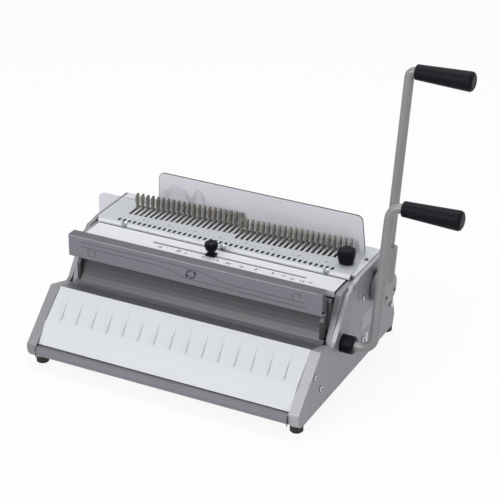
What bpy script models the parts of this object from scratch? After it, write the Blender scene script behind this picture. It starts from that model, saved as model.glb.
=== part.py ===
"""Desk machine that punches a row of square holes and closes wire combs.

Metres, +Z up, +X to the operator's right, +Y to the back.  Sections are drawn in
machine coordinates: x = 0 at mid-width, y = 0 over the front feet, z = 0 on the desk.
Every piece is then moved by one shift, so that the middle of the whole outline on the
desk is the origin.
"""
import bpy
import bmesh
import math
from mathutils import Vector

for old in list(bpy.data.objects):
    bpy.data.objects.remove(old, do_unlink=True)
for old in list(bpy.data.meshes):
    bpy.data.meshes.remove(old)

# general
gap = 0.0003
fit = 0.0004
weld_depth = 0.0010
round_steps = 32
small_steps = 20
smooth_limit_deg = 33.0

# width between the side covers, which the rest of the width follows
inner_half = 0.2004

# spacing of the punches
pitch = 0.0084667
group_count = 21
first_punch_x = -0.16933
first_window_x = -0.17357
window_count = 42

# feet and base
foot_radius = 0.0095
foot_floor = 0.0040
foot_height = 0.0147
foot_chamfer = 0.0012
foot_out = 0.0036
foot_x = inner_half + foot_out
foot_rear_y = 0.3135
tab_radius = 0.0098
base_low = 0.0150
base_thick = 0.0018
base_front_y = 0.0040
base_rear_y = 0.3090
tab_steps = 12

# side covers
frame_thick = 0.0085
frame_room = 0.0005
cover_rim = 0.0060
frame_in_x = inner_half + 2 * gap
cover_band_x = inner_half + gap
cover_rim_x = frame_in_x + frame_thick + frame_room
cover_out_x = cover_rim_x + cover_rim
cover_wall = 0.0025
cover_profile = [
    (-0.0070, 0.0172), (-0.0150, 0.0196), (-0.0193, 0.0252), (-0.0213, 0.0315),
    (-0.0210, 0.0400), (0.0484, 0.1041), (0.0885, 0.0918), (0.0957, 0.0956),
    (0.1137, 0.1196), (0.1370, 0.1498), (0.1454, 0.1513), (0.1512, 0.1571),
    (0.1620, 0.1574), (0.1780, 0.1605), (0.2670, 0.1610), (0.3065, 0.0644),
    (0.3117, 0.0465), (0.3150, 0.0350), (0.3100, 0.0172)]
band_corners = 7
cover_shaft_fit = 0.0015

# frame plates
frame_profile = [
    (0.0150, 0.0172), (0.0150, 0.0550), (0.0380, 0.0780), (0.0800, 0.0840),
    (0.0935, 0.0860), (0.1060, 0.1120), (0.1250, 0.1530), (0.1280, 0.1556),
    (0.1725, 0.1556),
    (0.1725, 0.1598), (0.2400, 0.1598), (0.2440, 0.1590), (0.2605, 0.1590),
    (0.2970, 0.0620), (0.3030, 0.0400), (0.3030, 0.0172)]
tie_radius = 0.0050
tie_front = (0.0500, 0.0600)
tie_rear = (0.2720, 0.0600)

# front panel
panel_path = [
    (0.0493, 0.1044), (0.0072, 0.0689), (-0.0147, 0.0405)]
panel_thick = 0.0015
rib_count = 15
rib_side_left = 0.0244
rib_side_right = 0.0208
rib_first_x = -inner_half + rib_side_left
rib_pitch = (2 * inner_half - rib_side_left - rib_side_right) / (rib_count - 1)
rib_low = (0.0105, 0.0717)
rib_high = (0.0400, 0.0966)
rib_lean = 0.0045
rib_height = 0.0016
rib_half = 0.0032
rib_sink = 0.0007
rib_crest_share = 0.12
rib_wide_share = 0.22

# closing bed
bed_path = [
    (0.0518, 0.1028), (0.0840, 0.0930), (0.0875, 0.0935), (0.0905, 0.0956),
    (0.0935, 0.0995), (0.0965, 0.1050), (0.0990, 0.1110), (0.1012, 0.1180),
    (0.1027, 0.1250), (0.1035, 0.1320)]
bed_thick = 0.0020
bed_notch = 0.0081
bed_notch_x = inner_half - bed_notch
bed_notch_y = 0.0916

# closing bar
bar_half = inner_half - gap
bar_left_over = 0.0024
bar_right_over = 0.0006
bar_path = [
    (0.0960, 0.1747), (0.0795, 0.1747), (0.0795, 0.1410), (0.0950, 0.1348)]
bar_round = 0.0014
bar_thick = 0.0025
closing_travel = 0.0260
closing_swing_deg = 80.0
closing_y = 0.1205
closing_z = 0.0830
closing_shaft_radius = 0.0070
crank_pin_radius = 0.0030
crank_web_radius = 0.0055
crank_web_thick = 0.0045
arm_inset = 0.0076
arm_in_x = inner_half - arm_inset
arm_thick = 0.0050
arm_profile = [
    (0.0824, 0.1714), (0.0824, 0.1452), (0.0900, 0.1422), (0.0964, 0.1390),
    (0.0964, 0.1300), (0.0925, 0.1240), (0.0925, 0.0870), (0.1122, 0.0870), (0.1122, 0.1500),
    (0.0975, 0.1640), (0.0955, 0.1714)]
arm_slot_play = 0.0008
guide_front_y = 0.1060
guide_back_y = 0.1170
guide_low = 0.1050
guide_high = 0.1500
guide_wall = 0.0017

# closing lever
closing_rod_out = 0.0460
closing_rod_x = cover_out_x + closing_rod_out
closing_low_bend = 0.0190
closing_high_bend = 0.0175
closing_grip_y = 0.1625
closing_grip_z = 0.2860
closing_grip_gap = 0.0178
closing_grip_length = 0.0855
closing_grip_x0 = closing_rod_x + closing_grip_gap
closing_grip_x1 = closing_grip_x0 + closing_grip_length
lever_radius = 0.0070
lever_bore_fit = 0.0003
grip_depth = 0.0600
grip_small_radius = 0.0110
grip_big_radius = 0.0142
grip_round = 0.0045
collar_reach = 0.0190
collar_x = cover_out_x + collar_reach
collar_radius = 0.0130
collar_round = 0.0020
collar_neck_radius = 0.0100

# punching lever
punch_y = 0.2330
punch_z = 0.1215
punch_shaft_radius = 0.0080
punch_swing_deg = 80.0
punch_travel = 0.0140
punch_lean_deg = 10.48
punch_rod_out = 0.0180
punch_rod_x = cover_out_x + punch_rod_out
punch_rod_foot_y = 0.2240
punch_rod_bend = 0.0084
punch_grip_z = 0.4350
punch_grip_gap = 0.0090
punch_grip_length = 0.0846
punch_grip_x0 = punch_rod_x + punch_grip_gap
punch_grip_x1 = punch_grip_x0 + punch_grip_length
ring_radius = 0.0155
ring_thick = 0.0033
hub_radius = 0.0240
hub_thick = 0.0205
hub_face = 0.0052
hub_round = 0.0020
socket_radius = 0.0120
socket_low = 0.1360
socket_high = 0.1870
socket_floor = 0.1500

# cranks of the punching shaft
crank_places_x = [-0.1400, -0.0400, 0.0450, 0.1450]
fork_half = 0.0030
web_clear = 0.0010
web_thick = 0.0045
throw_pin_radius = 0.0040
throw_web_radius = 0.0055
shaft_web_radius = 0.0110
fork_wall = 0.0042
fork_play = 0.0006
fork_low = 0.1300
fork_front_y = 0.2320

# punch sets
carrier_front_y = 0.2160
carrier_back_y = 0.2412
carrier_low = 0.1450
carrier_high = 0.1520
set_end = 0.0022
punch_side = 0.0036
punch_mid_z = 0.1485
punch_tip_y = 0.1655
stagger = 0.00058
tip_stagger = 0.00030
left_tine_y = 0.2220
right_tine_y = 0.2180
tine_thick = 0.0032
tine_profile = [
    (-0.0024, -0.0300), (0.0024, -0.0300), (0.0024, -0.0150), (0.0036, -0.0110),
    (0.0036, -0.0006), (0.0030, 0.0000), (-0.0042, -0.0042), (-0.0042, -0.0110),
    (-0.0024, -0.0150)]
tine_top = 0.1874

# blocks that the punches pass through
guide_block_front = 0.1649
guide_block_back = 0.1820
guide_block_low = 0.1400
die_front = 0.1460
die_back = 0.1612
die_low = 0.1380
block_high = 0.1570
block_half = 0.1860
punch_play = 0.0004
slide_low = 0.1385
slide_high = 0.1447
slide_beam_front = 0.1840
slide_beam_back = 0.1900
slide_back = 0.2480
slide_rails_x = [-0.1720, -0.0060, 0.0080, 0.1750]
slide_rail_width = 0.0050

# depth stop and dial
stop_side = 0.0204
stop_half = inner_half - stop_side
stop_front = 0.1619
stop_back = 0.1642
stop_low = 0.1200
stop_high = 0.1408
stop_arm_width = 0.0110
stop_arm_x0 = stop_half
stop_arm_x1 = stop_half + stop_arm_width
stop_arm_back = 0.2080
stop_arm_high = 0.1260
dial_inset = 0.0050
dial_x = stop_half + dial_inset
dial_y = 0.1995
dial_low = 0.1735
dial_high = 0.1890
dial_radius = 0.0128
dial_round = 0.0018
dial_top_radius = 0.0118
stem_radius = 0.0036
stem_foot = 0.1310
stem_hole_fit = 0.0006

# paper table and side stop
table_half = inner_half - gap
table_front = 0.1225
table_back = 0.1612
table_top = 0.1589
table_thick = 0.0015
table_lip = 0.0090
slot_x0 = -0.0970
slot_x1 = 0.1480
slot_y = 0.1420
slot_half = 0.0015
side_stop_x = -0.0015
slider_half = 0.0090
slider_front = 0.1365
slider_back = 0.1456
slider_low = 0.1500
slider_neck_half = 0.0040
slider_foot_half_x = 0.0070
slider_foot_half_y = 0.0055
slider_foot_high = 0.0030
knob_neck_radius = 0.0050
knob_head_radius = 0.0095
knob_head_low = 0.1670
knob_head_high = 0.1800
knob_round = 0.0030

# top plate and upright sheet
plate_left_over = 0.0046
plate_right_over = 0.0036
plate_x0 = -inner_half - plate_left_over
plate_x1 = inner_half + plate_right_over
plate_top = 0.1640
plate_thick = 0.0016
plate_front = 0.1652
plate_low = 0.1578
plate_bend = 0.0058
plate_back = 0.2470
plate_trim_y = 0.1760
plate_trim_in = 0.0100
deck_thick = 0.0018
deck_front = 0.1732
deck_open_front = 0.1930
deck_side = 0.0214
deck_open_x0 = -inner_half + deck_side
bend_steps = 7
upright_front = 0.2405
upright_thick = 0.0016
upright_top = 0.2210
upright_x0 = -0.1412
upright_foot_x0 = -0.1432
upright_x1 = 0.1900
upright_foot_x1 = 0.1945
upright_corner = 0.0090
window_y = 0.1760
window_wide = 0.0038
window_long = 0.0070
opening_front_y = 0.1975
opening_length = 0.0340
opening_step = 0.000615
opening_width = 0.0046
bolt_places_x = [-0.1600, 0.0040, 0.1680]
bolt_radius = 0.0045
bolt_height = 0.0022
bolt_rise = 0.0010

# rear cover and side wing
rear_half = cover_rim_x - fit
rear_path = [
    (0.2475, 0.1620), (0.2660, 0.1620), (0.2683, 0.1610), (0.3070, 0.0650),
    (0.3105, 0.0500), (0.3105, 0.0172)]
rear_thick = 0.0020
wing_reach = 0.0420
wing_x = cover_out_x + wing_reach
wing_front = 0.2540
wing_thick = 0.0020
wing_low = 0.1100
wing_high = 0.1580
wing_corner = 0.0100
wing_flange = 0.0140

# chip tray
tray_side_gap = 0.0054
tray_half = inner_half - tray_side_gap
tray_front = -0.0095
tray_back = 0.2000
tray_low = 0.0178
tray_high = 0.0360
tray_wall = 0.0015
tray_front_half = inner_half - 2 * gap
tray_front_profile = [
    (-0.0165, 0.0392), (-0.0192, 0.0386), (-0.0222, 0.0360), (-0.0237, 0.0320),
    (-0.0237, 0.0290), (-0.0222, 0.0256), (-0.0185, 0.0226), (-0.0140, 0.0215),
    (-0.0099, 0.0215), (-0.0099, 0.0392)]

# screws of the right side cover
screw_places = [(0.1910, 0.1200), (0.0310, 0.0740), (0.0500, 0.0465), (0.1950, 0.0510)]
screw_radius = 0.0040
screw_height = 0.0016
nut_place = (0.2960, 0.0600)
nut_radius = 0.0050
nut_height = 0.0034

# The whole outline on the desk, from the pieces that reach furthest.
shift = Vector((
    -(closing_grip_x1 - wing_x) / 2,
    -(foot_rear_y + tab_radius + min(p[0] for p in tray_front_profile)) / 2,
    -foot_floor))

materials = {}


def material(name, colour, metallic, roughness):
    """One plain surface: colour, metal share and roughness."""
    made = bpy.data.materials.new(name)
    made.use_nodes = True
    shader = made.node_tree.nodes["Principled BSDF"]
    shader.inputs["Base Color"].default_value = (colour[0], colour[1], colour[2], 1.0)
    shader.inputs["Metallic"].default_value = metallic
    shader.inputs["Roughness"].default_value = roughness
    made.diffuse_color = (colour[0], colour[1], colour[2], 1.0)
    materials[name] = made


material("white_paint", (0.72, 0.74, 0.78), 0.0, 0.45)
material("grey_paint", (0.20, 0.20, 0.23), 0.0, 0.5)
material("light_grey_paint", (0.55, 0.55, 0.62), 0.0, 0.45)
material("dark_paint", (0.06, 0.06, 0.07), 0.0, 0.5)
material("bright_steel", (0.62, 0.62, 0.62), 1.0, 0.3)
material("chrome", (0.80, 0.80, 0.82), 1.0, 0.12)
material("silver_paint", (0.52, 0.52, 0.53), 0.3, 0.38)
material("nickel", (0.45, 0.43, 0.38), 1.0, 0.35)
material("tool_steel", (0.32, 0.32, 0.34), 1.0, 0.4)
material("black_plastic", (0.015, 0.015, 0.02), 0.0, 0.35)
material("rubber", (0.02, 0.02, 0.02), 0.0, 0.8)


def area(points):
    """Signed area of a closed outline."""
    total = 0.0
    for k, (a, b) in enumerate(points):
        c, d = points[(k + 1) % len(points)]
        total += a * d - c * b
    return total / 2


def inset(points, depth):
    """Outline moved inward by depth, with mitred corners."""
    turn = 1.0 if area(points) > 0 else -1.0
    count = len(points)
    out = []
    for k in range(count):
        before = Vector(points[k - 1])
        here = Vector(points[k])
        after = Vector(points[(k + 1) % count])
        one = (here - before).normalized()
        two = (after - here).normalized()
        side_one = Vector((-one.y, one.x)) * turn
        side_two = Vector((-two.y, two.x)) * turn
        middle = (side_one + side_two).normalized()
        reach = depth / max(middle.dot(side_one), 0.35)
        out.append(tuple(here + middle * reach))
    return out


def sheet_outline(path, thick):
    """Closed outline of a bent sheet: the path and its copy moved to the left by thick."""
    moved = []
    last = len(path) - 1
    for k, point in enumerate(path):
        here = Vector(point)
        sides = []
        if k > 0:
            run = (here - Vector(path[k - 1])).normalized()
            sides.append(Vector((-run.y, run.x)))
        if k < last:
            run = (Vector(path[k + 1]) - here).normalized()
            sides.append(Vector((-run.y, run.x)))
        middle = sum(sides, Vector((0.0, 0.0))).normalized()
        moved.append(tuple(here + middle * (thick / middle.dot(sides[0]))))
    return list(path) + moved[::-1]


def prism(axis, outline, low, high):
    """Solid with the outline as its section, from low to high along an axis."""
    order = {"x": (2, 0, 1), "y": (0, 2, 1), "z": (0, 1, 2)}[axis]
    count = len(outline)
    points = []
    for level in (low, high):
        for a, b in outline:
            raw = (a, b, level)
            points.append(tuple(raw[k] for k in order))
    faces = [tuple(range(count)), tuple(range(count, 2 * count))]
    for k in range(count):
        j = (k + 1) % count
        faces.append((k, j, count + j, count + k))
    return points, faces


def box(x0, x1, y0, y1, z0, z1):
    """Block between two corners."""
    return prism("z", [(x0, y0), (x1, y0), (x1, y1), (x0, y1)], z0, z1)


def lathe(base, direction, profile, steps=round_steps):
    """Profile of (distance along the axis, radius) turned about the axis."""
    along = Vector(direction).normalized()
    start = Vector(base)
    side = along.orthogonal().normalized()
    other = along.cross(side)
    points = []
    rings = []
    for reach, radius in profile:
        centre = start + along * reach
        if radius == 0:
            rings.append([len(points)])
            points.append(tuple(centre))
            continue
        ring = []
        for k in range(steps):
            angle = 2 * math.pi * k / steps
            spot = centre + (side * math.cos(angle) + other * math.sin(angle)) * radius
            ring.append(len(points))
            points.append(tuple(spot))
        rings.append(ring)
    faces = []
    pairs = list(zip(rings, rings[1:]))
    if len(rings[0]) > 1:
        pairs.append((rings[-1], rings[0]))
    for one, two in pairs:
        if len(one) == 1 and len(two) == 1:
            continue
        for k in range(steps):
            j = (k + 1) % steps
            if len(one) == 1:
                faces.append((one[0], two[k], two[j]))
            elif len(two) == 1:
                faces.append((one[k], one[j], two[0]))
            else:
                faces.append((one[k], one[j], two[j], two[k]))
    return points, faces


def rod(first, last, radius, steps=round_steps):
    """Round bar between two points."""
    run = Vector(last) - Vector(first)
    return lathe(first, run, [(0, 0), (0, radius), (run.length, radius), (run.length, 0)],
                 steps)


def bent_rod(corners, bends, radius, steps=small_steps, bend_count=6):
    """Round bar along straight runs, each corner rounded to its own bend radius."""
    corners = [Vector(c) for c in corners]
    spots = [corners[0]]
    for k in range(1, len(corners) - 1):
        here = corners[k]
        bend = bends[k - 1]
        one = (corners[k - 1] - here).normalized()
        two = (corners[k + 1] - here).normalized()
        half = one.angle(two) / 2
        centre = here + (one + two).normalized() * (bend / math.sin(half))
        start = here + one * (bend / math.tan(half)) - centre
        end = here + two * (bend / math.tan(half)) - centre
        full = start.angle(end)
        for j in range(bend_count + 1):
            share = j / bend_count
            mixed = (start * math.sin((1 - share) * full) + end * math.sin(share * full))
            spots.append(centre + mixed / math.sin(full))
    spots.append(corners[-1])
    points = []
    faces = []
    side = None
    for k, spot in enumerate(spots):
        run = (spots[min(k + 1, len(spots) - 1)] - spots[max(k - 1, 0)]).normalized()
        side = run.orthogonal() if side is None else side - run * side.dot(run)
        side = side.normalized()
        other = run.cross(side)
        for j in range(steps):
            angle = 2 * math.pi * j / steps
            points.append(tuple(spot + (side * math.cos(angle) + other * math.sin(angle)) * radius))
    for k in range(len(spots) - 1):
        for j in range(steps):
            i = (j + 1) % steps
            faces.append((k * steps + j, k * steps + i, (k + 1) * steps + i, (k + 1) * steps + j))
    faces.append(tuple(range(steps)))
    faces.append(tuple(range((len(spots) - 1) * steps, len(spots) * steps)))
    return points, faces


def capsule(one, one_radius, two, two_radius, steps=12):
    """Outline around two circles in the plane."""
    a = Vector(one)
    b = Vector(two)
    run = (b - a).angle_signed(Vector((1.0, 0.0)))
    lean = math.acos((one_radius - two_radius) / (b - a).length)
    out = []
    for k in range(steps + 1):
        angle = run + lean + (2 * math.pi - 2 * lean) * k / steps
        out.append((a.x + one_radius * math.cos(angle), a.y + one_radius * math.sin(angle)))
    for k in range(steps + 1):
        angle = run - lean + 2 * lean * k / steps
        out.append((b.x + two_radius * math.cos(angle), b.y + two_radius * math.sin(angle)))
    return out


def arc(centre, radius, start_deg, end_deg, steps):
    """Points on a circle from one angle to another."""
    out = []
    for k in range(steps + 1):
        angle = math.radians(start_deg + (end_deg - start_deg) * k / steps)
        out.append((centre[0] + radius * math.cos(angle), centre[1] + radius * math.sin(angle)))
    return out


def joined(solids):
    """Several solids as one list of points and faces."""
    points = []
    faces = []
    for some_points, some_faces in solids:
        start = len(points)
        points.extend(some_points)
        faces.extend(tuple(start + k for k in face) for face in some_faces)
    return points, faces


def mesh_object(name, solid, origin):
    """Mesh with its zero point at origin, faces turned outward, round sides smooth."""
    points, faces = solid
    zero = Vector(origin)
    mesh = bpy.data.meshes.new(name)
    mesh.from_pydata([tuple(Vector(p) - zero) for p in points], [], faces)
    work = bmesh.new()
    work.from_mesh(mesh)
    bmesh.ops.remove_doubles(work, verts=work.verts, dist=gap / 300)
    bmesh.ops.recalc_face_normals(work, faces=work.faces)
    work.to_mesh(mesh)
    work.free()
    mesh.shade_smooth()
    mesh.set_sharp_from_angle(angle=math.radians(smooth_limit_deg))
    made = bpy.data.objects.new(name, mesh)
    made.location = zero + shift
    bpy.context.scene.collection.objects.link(made)
    return made


def node(name, solid, look, origin=(0.0, 0.0, 0.0), cut=(), add=(), late=()):
    """One sub-part: a solid, solids cut from it and then groups of solids welded to it.

    late holds cuts that come after the welds.
    """
    made = mesh_object(name, solid, origin)
    made.data.materials.append(materials[look])
    steps = [("cut", cut, "DIFFERENCE")]
    steps += [("add%d" % k, group, "UNION") for k, group in enumerate(add)]
    steps.append(("late", late, "DIFFERENCE"))
    for word, group, kind in steps:
        if not group:
            continue
        tool = mesh_object(name + "_" + word, joined(group), origin)
        tool.data.materials.append(materials[look])
        tool.hide_render = True
        tool.display_type = "WIRE"
        step = made.modifiers.new(word, "BOOLEAN")
        step.operation = kind
        step.solver = "EXACT"
        step.object = tool
    return made


# base and feet
base_high = base_low + base_thick
base_outline = (
    arc((-foot_x, 0.0), tab_radius, 180.0, 360.0, tab_steps)[:-1]
    + [(-foot_x + tab_radius, base_front_y), (foot_x - tab_radius, base_front_y)]
    + arc((foot_x, 0.0), tab_radius, 180.0, 360.0, tab_steps)[1:]
    + arc((foot_x, foot_rear_y), tab_radius, 0.0, 180.0, tab_steps)[:-1]
    + [(foot_x - tab_radius, base_rear_y), (-foot_x + tab_radius, base_rear_y)]
    + arc((-foot_x, foot_rear_y), tab_radius, 0.0, 180.0, tab_steps)[1:])
node("base_plate", prism("z", base_outline, base_low, base_high), "grey_paint")
for place, foot_at_x, foot_at_y in (
        ("front_left", -foot_x, 0.0), ("front_right", foot_x, 0.0),
        ("rear_left", -foot_x, foot_rear_y), ("rear_right", foot_x, foot_rear_y)):
    node("foot_" + place, lathe((foot_at_x, foot_at_y, foot_floor), (0, 0, 1), [
        (0, 0), (0, foot_radius - foot_chamfer), (foot_chamfer, foot_radius),
        (foot_height - foot_floor, foot_radius), (foot_height - foot_floor, 0)],
        small_steps), "rubber")

# side covers
cover_inside = inset(cover_profile, cover_wall)
band_outline = cover_profile[1:band_corners] + cover_inside[1:band_corners][::-1]
for place, side in (("left", -1.0), ("right", 1.0)):
    ends = sorted((side * cover_rim_x, side * cover_out_x))
    hollow = sorted((side * (cover_rim_x - cover_wall), side * (cover_out_x - cover_wall)))
    band = sorted((side * cover_band_x, side * (cover_rim_x + cover_wall)))
    cuts = []
    if side > 0:
        cuts.append(rod((cover_rim_x, closing_y, closing_z),
                        (cover_out_x + cover_wall, closing_y, closing_z),
                        collar_neck_radius + fit, small_steps))
        cuts.append(rod((cover_rim_x, punch_y, punch_z),
                        (cover_out_x + cover_wall, punch_y, punch_z),
                        punch_shaft_radius + cover_shaft_fit, small_steps))
    node("side_cover_" + place, prism("x", cover_profile, ends[0], ends[1]), "grey_paint",
         cut=[prism("x", cover_inside, hollow[0], hollow[1])],
         add=[[prism("x", band_outline, band[0], band[1])]], late=cuts)

# frame plates and tie bars
for place, side in (("left", -1.0), ("right", 1.0)):
    ends = sorted((side * frame_in_x, side * (frame_in_x + frame_thick)))
    bores = [
        rod((ends[0] - gap, closing_y, closing_z), (ends[1] + gap, closing_y, closing_z),
            closing_shaft_radius + fit, round_steps),
        rod((ends[0] - gap, punch_y, punch_z), (ends[1] + gap, punch_y, punch_z),
            punch_shaft_radius + fit, round_steps)]
    node("frame_plate_" + place, prism("x", frame_profile, ends[0], ends[1]), "dark_paint",
         cut=bores)
for place, spot in (("front", tie_front), ("rear", tie_rear)):
    node("tie_bar_" + place, rod((-inner_half, spot[0], spot[1]), (inner_half, spot[0], spot[1]),
                                 tie_radius, small_steps), "bright_steel")

# front panel with ribs
run = Vector(rib_high) - Vector(rib_low)
out = Vector((-run.y, run.x)).normalized()
ribs = []
for k in range(rib_count):
    x = rib_first_x + rib_pitch * k
    low = Vector(rib_low) - out * rib_sink
    high = Vector(rib_high) - out * rib_sink
    crest = Vector(rib_low) + out * rib_height + run * rib_crest_share
    points = [
        (x, low.x, low.y),
        (x - rib_half, low.x + run.x * rib_wide_share, low.y + run.y * rib_wide_share),
        (x + rib_half, low.x + run.x * rib_wide_share, low.y + run.y * rib_wide_share),
        (x - rib_half - rib_lean, high.x, high.y),
        (x + rib_half - rib_lean, high.x, high.y),
        (x, crest.x, crest.y)]
    faces = [(0, 1, 3, 4, 2), (0, 5, 1), (0, 2, 5), (1, 5, 3), (2, 4, 5), (3, 5, 4)]
    ribs.append((points, faces))
node("front_panel", prism("x", sheet_outline(panel_path, panel_thick), -inner_half, inner_half),
     "white_paint", add=[ribs])

# closing bed
bed_cuts = []
for side in (-1.0, 1.0):
    ends = sorted((side * bed_notch_x, side * (cover_band_x + cover_wall)))
    bed_cuts.append(box(ends[0], ends[1], bed_notch_y, closing_y, closing_z, table_top))
bed_outline = sheet_outline(bed_path[::-1], bed_thick)
node("closing_bed", prism("x", bed_outline, -inner_half, inner_half), "dark_paint",
     cut=bed_cuts)

# closing bar, its arms and their guides
bar_outline = sheet_outline(bar_path, bar_thick)
bar_corner = arc((bar_path[1][0] + bar_round, bar_path[1][1] - bar_round), bar_round,
                 90.0, 180.0, 3)
bar_outline = bar_outline[:1] + bar_corner + bar_outline[2:]
node("closing_bar", prism("x", bar_outline, -bar_half - bar_left_over,
                          bar_half + bar_right_over), "grey_paint")
half_swing = math.radians(closing_swing_deg) / 2
closing_throw = closing_travel / (2 * math.sin(half_swing))
pin_y = closing_y - closing_throw * math.cos(half_swing)
pin_z = closing_z + closing_throw * math.sin(half_swing)
arm_out_x = arm_in_x + arm_thick
slot_reach = crank_pin_radius + arm_slot_play
web_out_x = arm_in_x - guide_wall - gap
web_in_x = web_out_x - crank_web_thick
closing_webs = []
closing_pins = []
for place, side in (("left", -1.0), ("right", 1.0)):
    ends = sorted((side * arm_in_x, side * arm_out_x))
    wide = sorted((side * (arm_in_x - gap), side * (arm_out_x + gap)))
    node("closing_arm_" + place, prism("x", arm_profile, ends[0], ends[1]), "tool_steel",
         cut=[box(wide[0], wide[1], closing_y - closing_throw - slot_reach, pin_y + slot_reach,
                  pin_z - slot_reach, pin_z + slot_reach)])
    inner = side * (arm_in_x - fit)
    outer = side * (arm_out_x + fit)
    groove = arm_profile[7][0] + fit
    node("closing_guide_" + place, prism("z", [
        (inner - side * guide_wall, guide_front_y), (inner, guide_front_y), (inner, groove),
        (outer, groove), (outer, guide_front_y), (side * inner_half, guide_front_y),
        (side * inner_half, guide_back_y), (inner - side * guide_wall, guide_back_y)],
        guide_low, guide_high), "bright_steel")
    ends = sorted((side * web_in_x, side * web_out_x))
    closing_webs.append(prism("x", capsule(
        (closing_y, closing_z), closing_shaft_radius + weld_depth, (pin_y, pin_z),
        crank_web_radius), ends[0], ends[1]))
    closing_pins.append(rod((side * (web_out_x - weld_depth), pin_y, pin_z),
                            (side * (arm_out_x + weld_depth), pin_y, pin_z),
                            crank_pin_radius, small_steps))
closing_end_x = frame_in_x + frame_thick + 2 * weld_depth
closing_axis = (0.0, closing_y, closing_z)
node("closing_shaft", rod((-frame_in_x - frame_thick, closing_y, closing_z),
                          (closing_end_x, closing_y, closing_z), closing_shaft_radius),
     "bright_steel", closing_axis, add=[closing_webs, closing_pins])
node("closing_lever_rod", bent_rod([
    (closing_end_x + gap, closing_y, closing_z), (closing_rod_x, closing_y, closing_z),
    (closing_rod_x, closing_grip_y, closing_grip_z),
    (closing_grip_x0 + grip_depth, closing_grip_y, closing_grip_z)],
    [closing_low_bend, closing_high_bend], lever_radius), "silver_paint", closing_axis)


def grip(name, x0, x1, y, z, origin):
    """Black grip: a sleeve that widens to its round closed end."""
    length = x1 - x0
    bore = lever_radius + lever_bore_fit
    node(name, lathe((x0, y, z), (1, 0, 0), [
        (0, bore), (0, grip_small_radius - grip_round / 3),
        (grip_round / 4, grip_small_radius),
        (length - grip_round, grip_big_radius),
        (length - grip_round / 3, grip_big_radius - grip_round / 3),
        (length, grip_big_radius - grip_round), (length, 0),
        (grip_depth + gap, 0), (grip_depth + gap, bore)]), "black_plastic", origin)


grip("closing_grip", closing_grip_x0, closing_grip_x1, closing_grip_y, closing_grip_z,
     closing_axis)
collar_length = collar_x - cover_out_x
bush_x = frame_in_x + frame_thick + gap
node("closing_bush", lathe((bush_x, closing_y, closing_z), (1, 0, 0), [
    (0, closing_shaft_radius + fit), (0, collar_neck_radius),
    (cover_out_x + gap - bush_x, collar_neck_radius),
    (cover_out_x + gap - bush_x, collar_radius),
    (collar_x - collar_round - bush_x, collar_radius),
    (collar_x - bush_x, collar_radius - collar_round),
    (collar_x - bush_x, closing_shaft_radius + fit)]), "black_plastic")

# punching shaft with four cranks
half_swing = math.radians(punch_swing_deg) / 2
punch_throw = punch_travel / (2 * math.sin(half_swing))
throw_y = punch_y + punch_throw * math.sin(half_swing)
throw_z = punch_z + punch_throw * math.cos(half_swing)
punch_axis = (0.0, punch_y, punch_z)
hub_x0 = cover_out_x + gap + ring_thick + gap
hub_x1 = hub_x0 + hub_thick
webs = []
for x in crank_places_x:
    for side in (-1.0, 1.0):
        ends = sorted((x + side * (fork_half + web_clear),
                       x + side * (fork_half + web_clear + web_thick)))
        webs.append(prism("x", capsule((punch_y, punch_z), shaft_web_radius,
                                       (throw_y, throw_z), throw_web_radius),
                          ends[0], ends[1]))
pins = []
for x in crank_places_x:
    reach = fork_half + web_clear + web_thick / 2
    pins.append(rod((x - reach, throw_y, throw_z), (x + reach, throw_y, throw_z),
                    throw_pin_radius, small_steps))
node("punch_shaft", rod((-frame_in_x - frame_thick, punch_y, punch_z),
                        (hub_x1 - hub_face - gap, punch_y, punch_z), punch_shaft_radius),
     "bright_steel", punch_axis, add=[webs, pins])

node("punch_ring", lathe((cover_out_x + gap, punch_y, punch_z), (1, 0, 0), [
    (0, punch_shaft_radius + fit), (0, ring_radius), (ring_thick - gap, ring_radius),
    (ring_thick, ring_radius - gap), (ring_thick, punch_shaft_radius + fit)]),
    "chrome", punch_axis)

lean = math.tan(math.radians(punch_lean_deg))


def on_rod(z):
    """Point on the middle line of the punching lever's straight run at height z."""
    return (punch_rod_x, punch_rod_foot_y + (z - punch_z) * lean, z)


node("punch_hub", lathe((hub_x0, punch_y, punch_z), (1, 0, 0), [
    (0, punch_shaft_radius + gap), (0, hub_radius), (hub_thick - hub_round, hub_radius),
    (hub_thick, hub_radius - hub_round), (hub_thick, 0),
    (hub_thick - hub_face, 0), (hub_thick - hub_face, punch_shaft_radius + gap)]),
    "silver_paint", punch_axis,
    add=[[rod(on_rod(socket_low), on_rod(socket_high), socket_radius)]],
    late=[rod(on_rod(socket_floor), on_rod(socket_high + weld_depth),
             lever_radius + lever_bore_fit),
         rod((hub_x0 - gap, punch_y, punch_z), (hub_x1 - hub_face, punch_y, punch_z),
             punch_shaft_radius + gap)])
punch_corner = on_rod(punch_grip_z)
node("punch_lever_rod", bent_rod([
    on_rod(socket_floor + gap), punch_corner,
    (punch_grip_x0 + grip_depth, punch_corner[1], punch_grip_z)],
    [punch_rod_bend], lever_radius), "silver_paint", punch_axis)
grip("punch_grip", punch_grip_x0, punch_grip_x1, punch_corner[1], punch_grip_z, punch_axis)

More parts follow.
